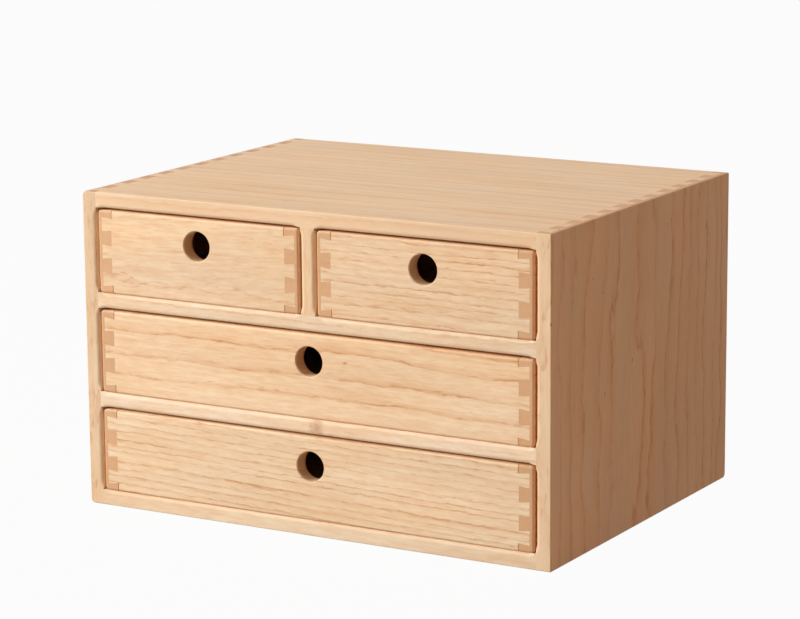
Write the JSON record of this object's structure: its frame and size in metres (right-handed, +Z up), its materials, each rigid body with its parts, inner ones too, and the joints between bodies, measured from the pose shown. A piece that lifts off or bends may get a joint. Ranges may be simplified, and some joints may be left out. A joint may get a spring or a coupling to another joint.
{
  "type": "desktop mini drawers",
  "caption": "Small free-standing chest of solid wood with sliding drawers, dovetailed corners and a round finger hole in each drawer front.",
  "frame": {"origin": "middle of the base, on the surface that the chest stands on", "axes": "+X to the right along the width, which is the longest side; the drawer fronts face -Y; +Z up"},
  "size_m": [0.35, 0.264, 0.214],
  "materials": {
    "case_wood": "sanded, unvarnished",
    "drawer_wood": "sanded, unvarnished",
    "thin_panel": "thin panel, unvarnished"
  },
  "bodies": {
    "case": {"case_side_left": "case_wood", "case_side_right": "case_wood", "top_panel": "case_wood", "bottom_panel": "case_wood", "upper_shelf": "case_wood", "lower_shelf": "case_wood", "centre_divider": "case_wood", "back_panel": "thin_panel"},
    "drawer_bottom": {"drawer_bottom_front": "drawer_wood", "drawer_bottom_side_left": "drawer_wood", "drawer_bottom_side_right": "drawer_wood", "drawer_bottom_back": "drawer_wood", "drawer_bottom_base": "thin_panel"},
    "drawer_middle": {"drawer_middle_front": "drawer_wood", "drawer_middle_side_left": "drawer_wood", "drawer_middle_side_right": "drawer_wood", "drawer_middle_back": "drawer_wood", "drawer_middle_base": "thin_panel"},
    "drawer_top_left": {"drawer_top_left_front": "drawer_wood", "drawer_top_left_side_left": "drawer_wood", "drawer_top_left_side_right": "drawer_wood", "drawer_top_left_back": "drawer_wood", "drawer_top_left_base": "thin_panel"},
    "drawer_top_right": {"drawer_top_right_front": "drawer_wood", "drawer_top_right_side_left": "drawer_wood", "drawer_top_right_side_right": "drawer_wood", "drawer_top_right_back": "drawer_wood", "drawer_top_right_base": "thin_panel"}
  },
  "joints": [
    {"name": "drawer_bottom_slide", "type": "slide", "parent": "case", "child": "drawer_bottom", "axis": [0, -1, 0], "range_m": [0, 0.215]},
    {"name": "drawer_middle_slide", "type": "slide", "parent": "case", "child": "drawer_middle", "axis": [0, -1, 0], "range_m": [0, 0.215]},
    {"name": "drawer_top_left_slide", "type": "slide", "parent": "case", "child": "drawer_top_left", "axis": [0, -1, 0], "range_m": [0, 0.215]},
    {"name": "drawer_top_right_slide", "type": "slide", "parent": "case", "child": "drawer_top_right", "axis": [0, -1, 0], "range_m": [0, 0.215]}
  ]
}
